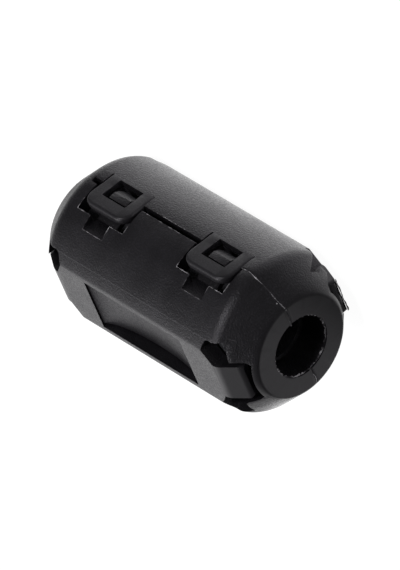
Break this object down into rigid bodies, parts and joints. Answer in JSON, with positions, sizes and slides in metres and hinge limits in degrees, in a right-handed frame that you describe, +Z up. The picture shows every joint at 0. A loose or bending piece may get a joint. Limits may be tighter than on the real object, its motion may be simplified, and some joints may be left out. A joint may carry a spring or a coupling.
{
  "type": "clip-on ferrite bead",
  "caption": "Hinged cylindrical plastic case with snap latches that closes a split ferrite core round a cable bore.",
  "frame": {"origin": "centre of the cable bore, half way along it, on the parting plane", "axes": "+X along the bore, -Y towards the latches, +Y towards the living hinge, +Z up through the cover"},
  "size_m": [0.03, 0.0173, 0.0148],
  "materials": {
    "case_nylon": "injection moulded nylon, fine spark-eroded grain",
    "core_ferrite": "sintered ferrite ceramic, ground mating faces"
  },
  "bodies": {
    "base": {"base_shell": "case_nylon", "core_half_lower": "core_ferrite", "left_hinge_strap": "case_nylon", "right_hinge_strap": "case_nylon"},
    "cover": {"cover_shell": "case_nylon", "core_half_upper": "core_ferrite"},
    "left_loop": {"left_latch_loop": "case_nylon"},
    "right_loop": {"right_latch_loop": "case_nylon"}
  },
  "joints": [
    {"name": "case_hinge", "type": "hinge", "parent": "base", "child": "cover", "pos_m": [0, 0.00852, 0], "axis": [-1, 0, 0], "range_deg": [0, 180], "deforming": ["left_hinge_strap", "right_hinge_strap"]},
    {"name": "left_latch_flex", "type": "hinge", "parent": "base", "child": "left_loop", "pos_m": [-0.0071, -0.00806, -0.00175], "axis": [1, 0, 0], "range_deg": [0, 16], "stiffness_Nm_per_rad": 0.01},
    {"name": "right_latch_flex", "type": "hinge", "parent": "base", "child": "right_loop", "pos_m": [0.0071, -0.00806, -0.00175], "axis": [1, 0, 0], "range_deg": [0, 16], "stiffness_Nm_per_rad": 0.01}
  ]
}
